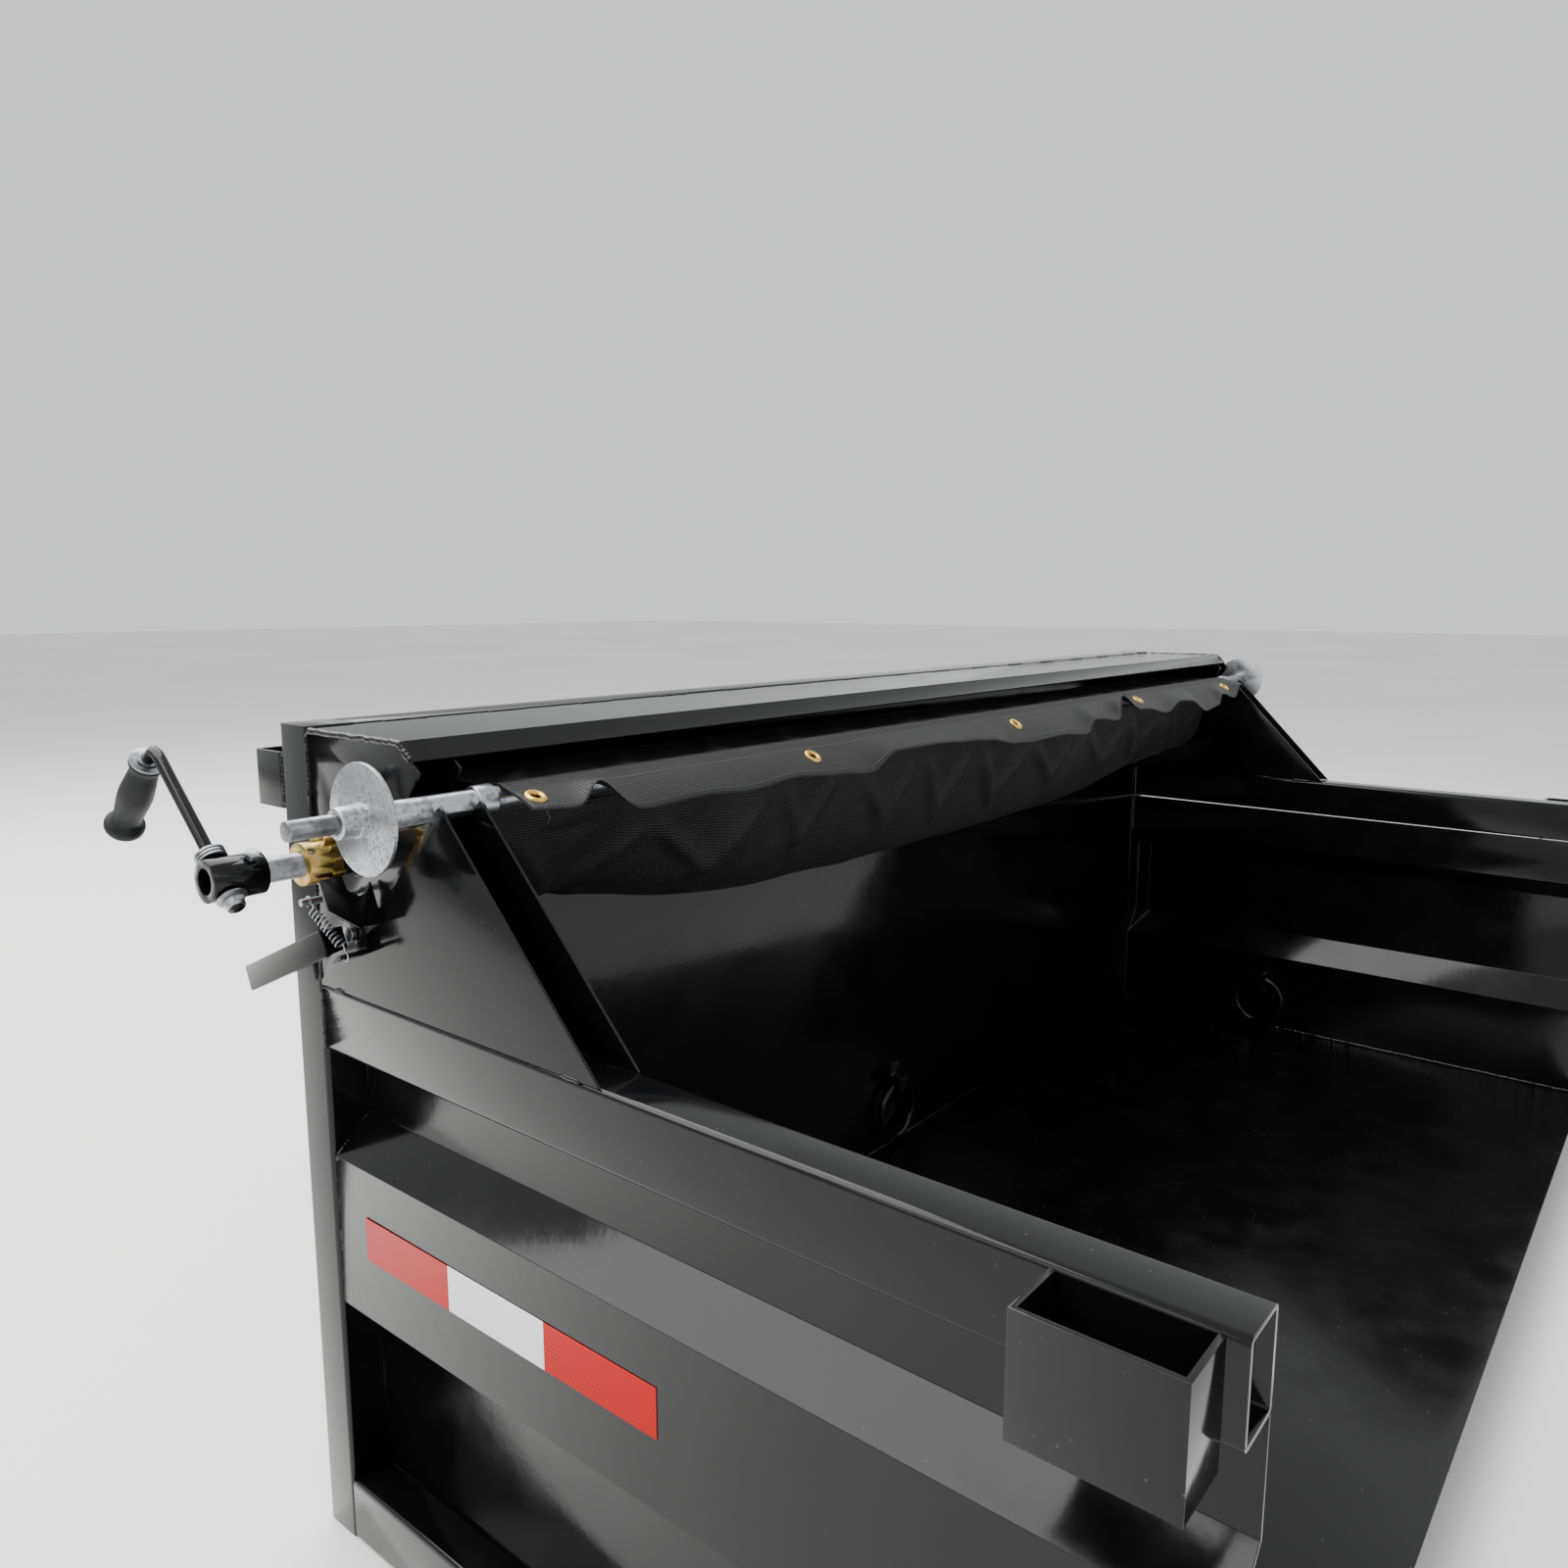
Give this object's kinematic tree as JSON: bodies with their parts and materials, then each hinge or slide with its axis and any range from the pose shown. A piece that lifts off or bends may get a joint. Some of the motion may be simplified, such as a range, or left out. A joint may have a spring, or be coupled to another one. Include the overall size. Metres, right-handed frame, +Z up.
{
  "type": "roll tarp body front",
  "caption": "Front section of an open steel dump body with bulkhead, hood, wing plates and a hand-cranked roll tarp with ratchet, crank and pull bar.",
  "frame": {"origin": "underside of the front sill, on the middle plane of the body", "axes": "+X across the body towards the side away from the crank, -Y towards the tail, +Z up"},
  "size_m": [2.5912, 1.1482, 0.9786],
  "materials": {
    "black_paint": "gloss black powder coat over welded steel",
    "zinc_plate": "bright zinc plate and galvanised pipe",
    "yellow_zinc": "yellow zinc chromate with pink and green tints",
    "brass_grommet": "polished brass",
    "grip_rubber": "matte charcoal",
    "mesh_tarp": "black vinyl-coated mesh",
    "tarp_thread": "bonded polyester thread",
    "reflective_tape": "red and white retroreflective film"
  },
  "bodies": {
    "body_frame": {"corner_post_left": "black_paint", "corner_post_right": "black_paint", "top_rail_left": "black_paint", "top_rail_right": "black_paint", "lower_rail_left": "black_paint", "lower_rail_right": "black_paint", "side_panel_left": "black_paint", "side_panel_right": "black_paint", "wing_outer_left": "black_paint", "wing_outer_right": "black_paint", "wing_inner_left": "black_paint", "wing_inner_right": "black_paint", "stake_pocket_left": "black_paint", "stake_pocket_right": "black_paint", "reflective_tape_left": "reflective_tape", "reflective_tape_right": "reflective_tape", "bearing_sleeve_left": "black_paint", "bearing_sleeve_right": "black_paint", "front_sill": "black_paint", "front_top_tube": "black_paint", "bulkhead_panel": "black_paint", "floor_plate": "black_paint", "cross_member_mid": "black_paint", "cross_member_tail": "black_paint", "tarp_hood": "black_paint", "front_bracket": "black_paint", "tie_clip_front": "black_paint", "tie_clip_left": "black_paint", "tie_clip_right": "black_paint", "pivot_bolt": "zinc_plate", "spring_post": "zinc_plate", "pawl_spring": "zinc_plate", "tarp_slack": "mesh_tarp"},
    "roller": {"roller_tube": "zinc_plate", "crank_shaft": "zinc_plate", "idler_shaft": "zinc_plate", "ratchet_sprocket": "yellow_zinc", "sprocket_set_screw": "zinc_plate", "crank_hub": "black_paint", "crank_hub_bolt": "zinc_plate", "tarp_roll": "mesh_tarp"},
    "crank_arm": {"crank_arm": "black_paint", "arm_spring_washer": "zinc_plate", "arm_lock_nut": "zinc_plate", "grip_clip": "zinc_plate"},
    "hand_grip": {"hand_grip": "grip_rubber", "grip_washer": "zinc_plate"},
    "pawl_lever": {"pawl_plate": "black_paint", "pivot_strap": "black_paint", "lever_handle": "black_paint"},
    "pull_bar": {"pull_bar_pipe": "zinc_plate", "end_disc_left": "zinc_plate", "end_disc_right": "zinc_plate", "end_rod_left": "zinc_plate", "end_rod_right": "zinc_plate", "tarp_hem": "mesh_tarp", "tarp_flap": "mesh_tarp"},
    "tie_ring_front": {"tie_ring_front": "black_paint"},
    "tie_ring_left": {"tie_ring_left": "black_paint"},
    "tie_ring_right": {"tie_ring_right": "black_paint"}
  },
  "joints": [
    {"name": "roller_spin", "type": "hinge", "parent": "body_frame", "child": "roller", "pos_m": [0, -0.1166, 0.8506], "axis": [1, 0, 0], "continuous": true},
    {"name": "arm_swivel", "type": "hinge", "parent": "roller", "child": "crank_arm", "pos_m": [-1.2856, -0.1166, 0.8506], "axis": [0, 0.7314, 0.682], "range_deg": [-20, 90]},
    {"name": "grip_spin", "type": "hinge", "parent": "crank_arm", "child": "hand_grip", "pos_m": [-1.2856, 0.00919, 0.9679], "axis": [0, 0.682, -0.7314], "continuous": true},
    {"name": "pawl_release", "type": "hinge", "parent": "body_frame", "child": "pawl_lever", "pos_m": [-1.1496, -0.1156, 0.7676], "axis": [1, 0, 0], "range_deg": [0, 20], "stiffness_Nm_per_rad": 3, "springref_deg": -20.05, "deforming": ["pawl_spring"]},
    {"name": "bar_lift", "type": "slide", "parent": "body_frame", "child": "pull_bar", "axis": [0, -0.55, 0.8352], "range_m": [0, 0.06]},
    {"name": "tie_ring_front_swing", "type": "hinge", "parent": "body_frame", "child": "tie_ring_front", "pos_m": [0, -0.0389, 0.2006], "axis": [-1, 0, 0], "range_deg": [0, 100]},
    {"name": "tie_ring_left_swing", "type": "hinge", "parent": "body_frame", "child": "tie_ring_left", "pos_m": [-1.0828, -0.3726, 0.2006], "axis": [0, -1, 0], "range_deg": [0, 100]},
    {"name": "tie_ring_right_swing", "type": "hinge", "parent": "body_frame", "child": "tie_ring_right", "pos_m": [1.0828, -0.3726, 0.2006], "axis": [0, 1, 0], "range_deg": [0, 100]}
  ]
}
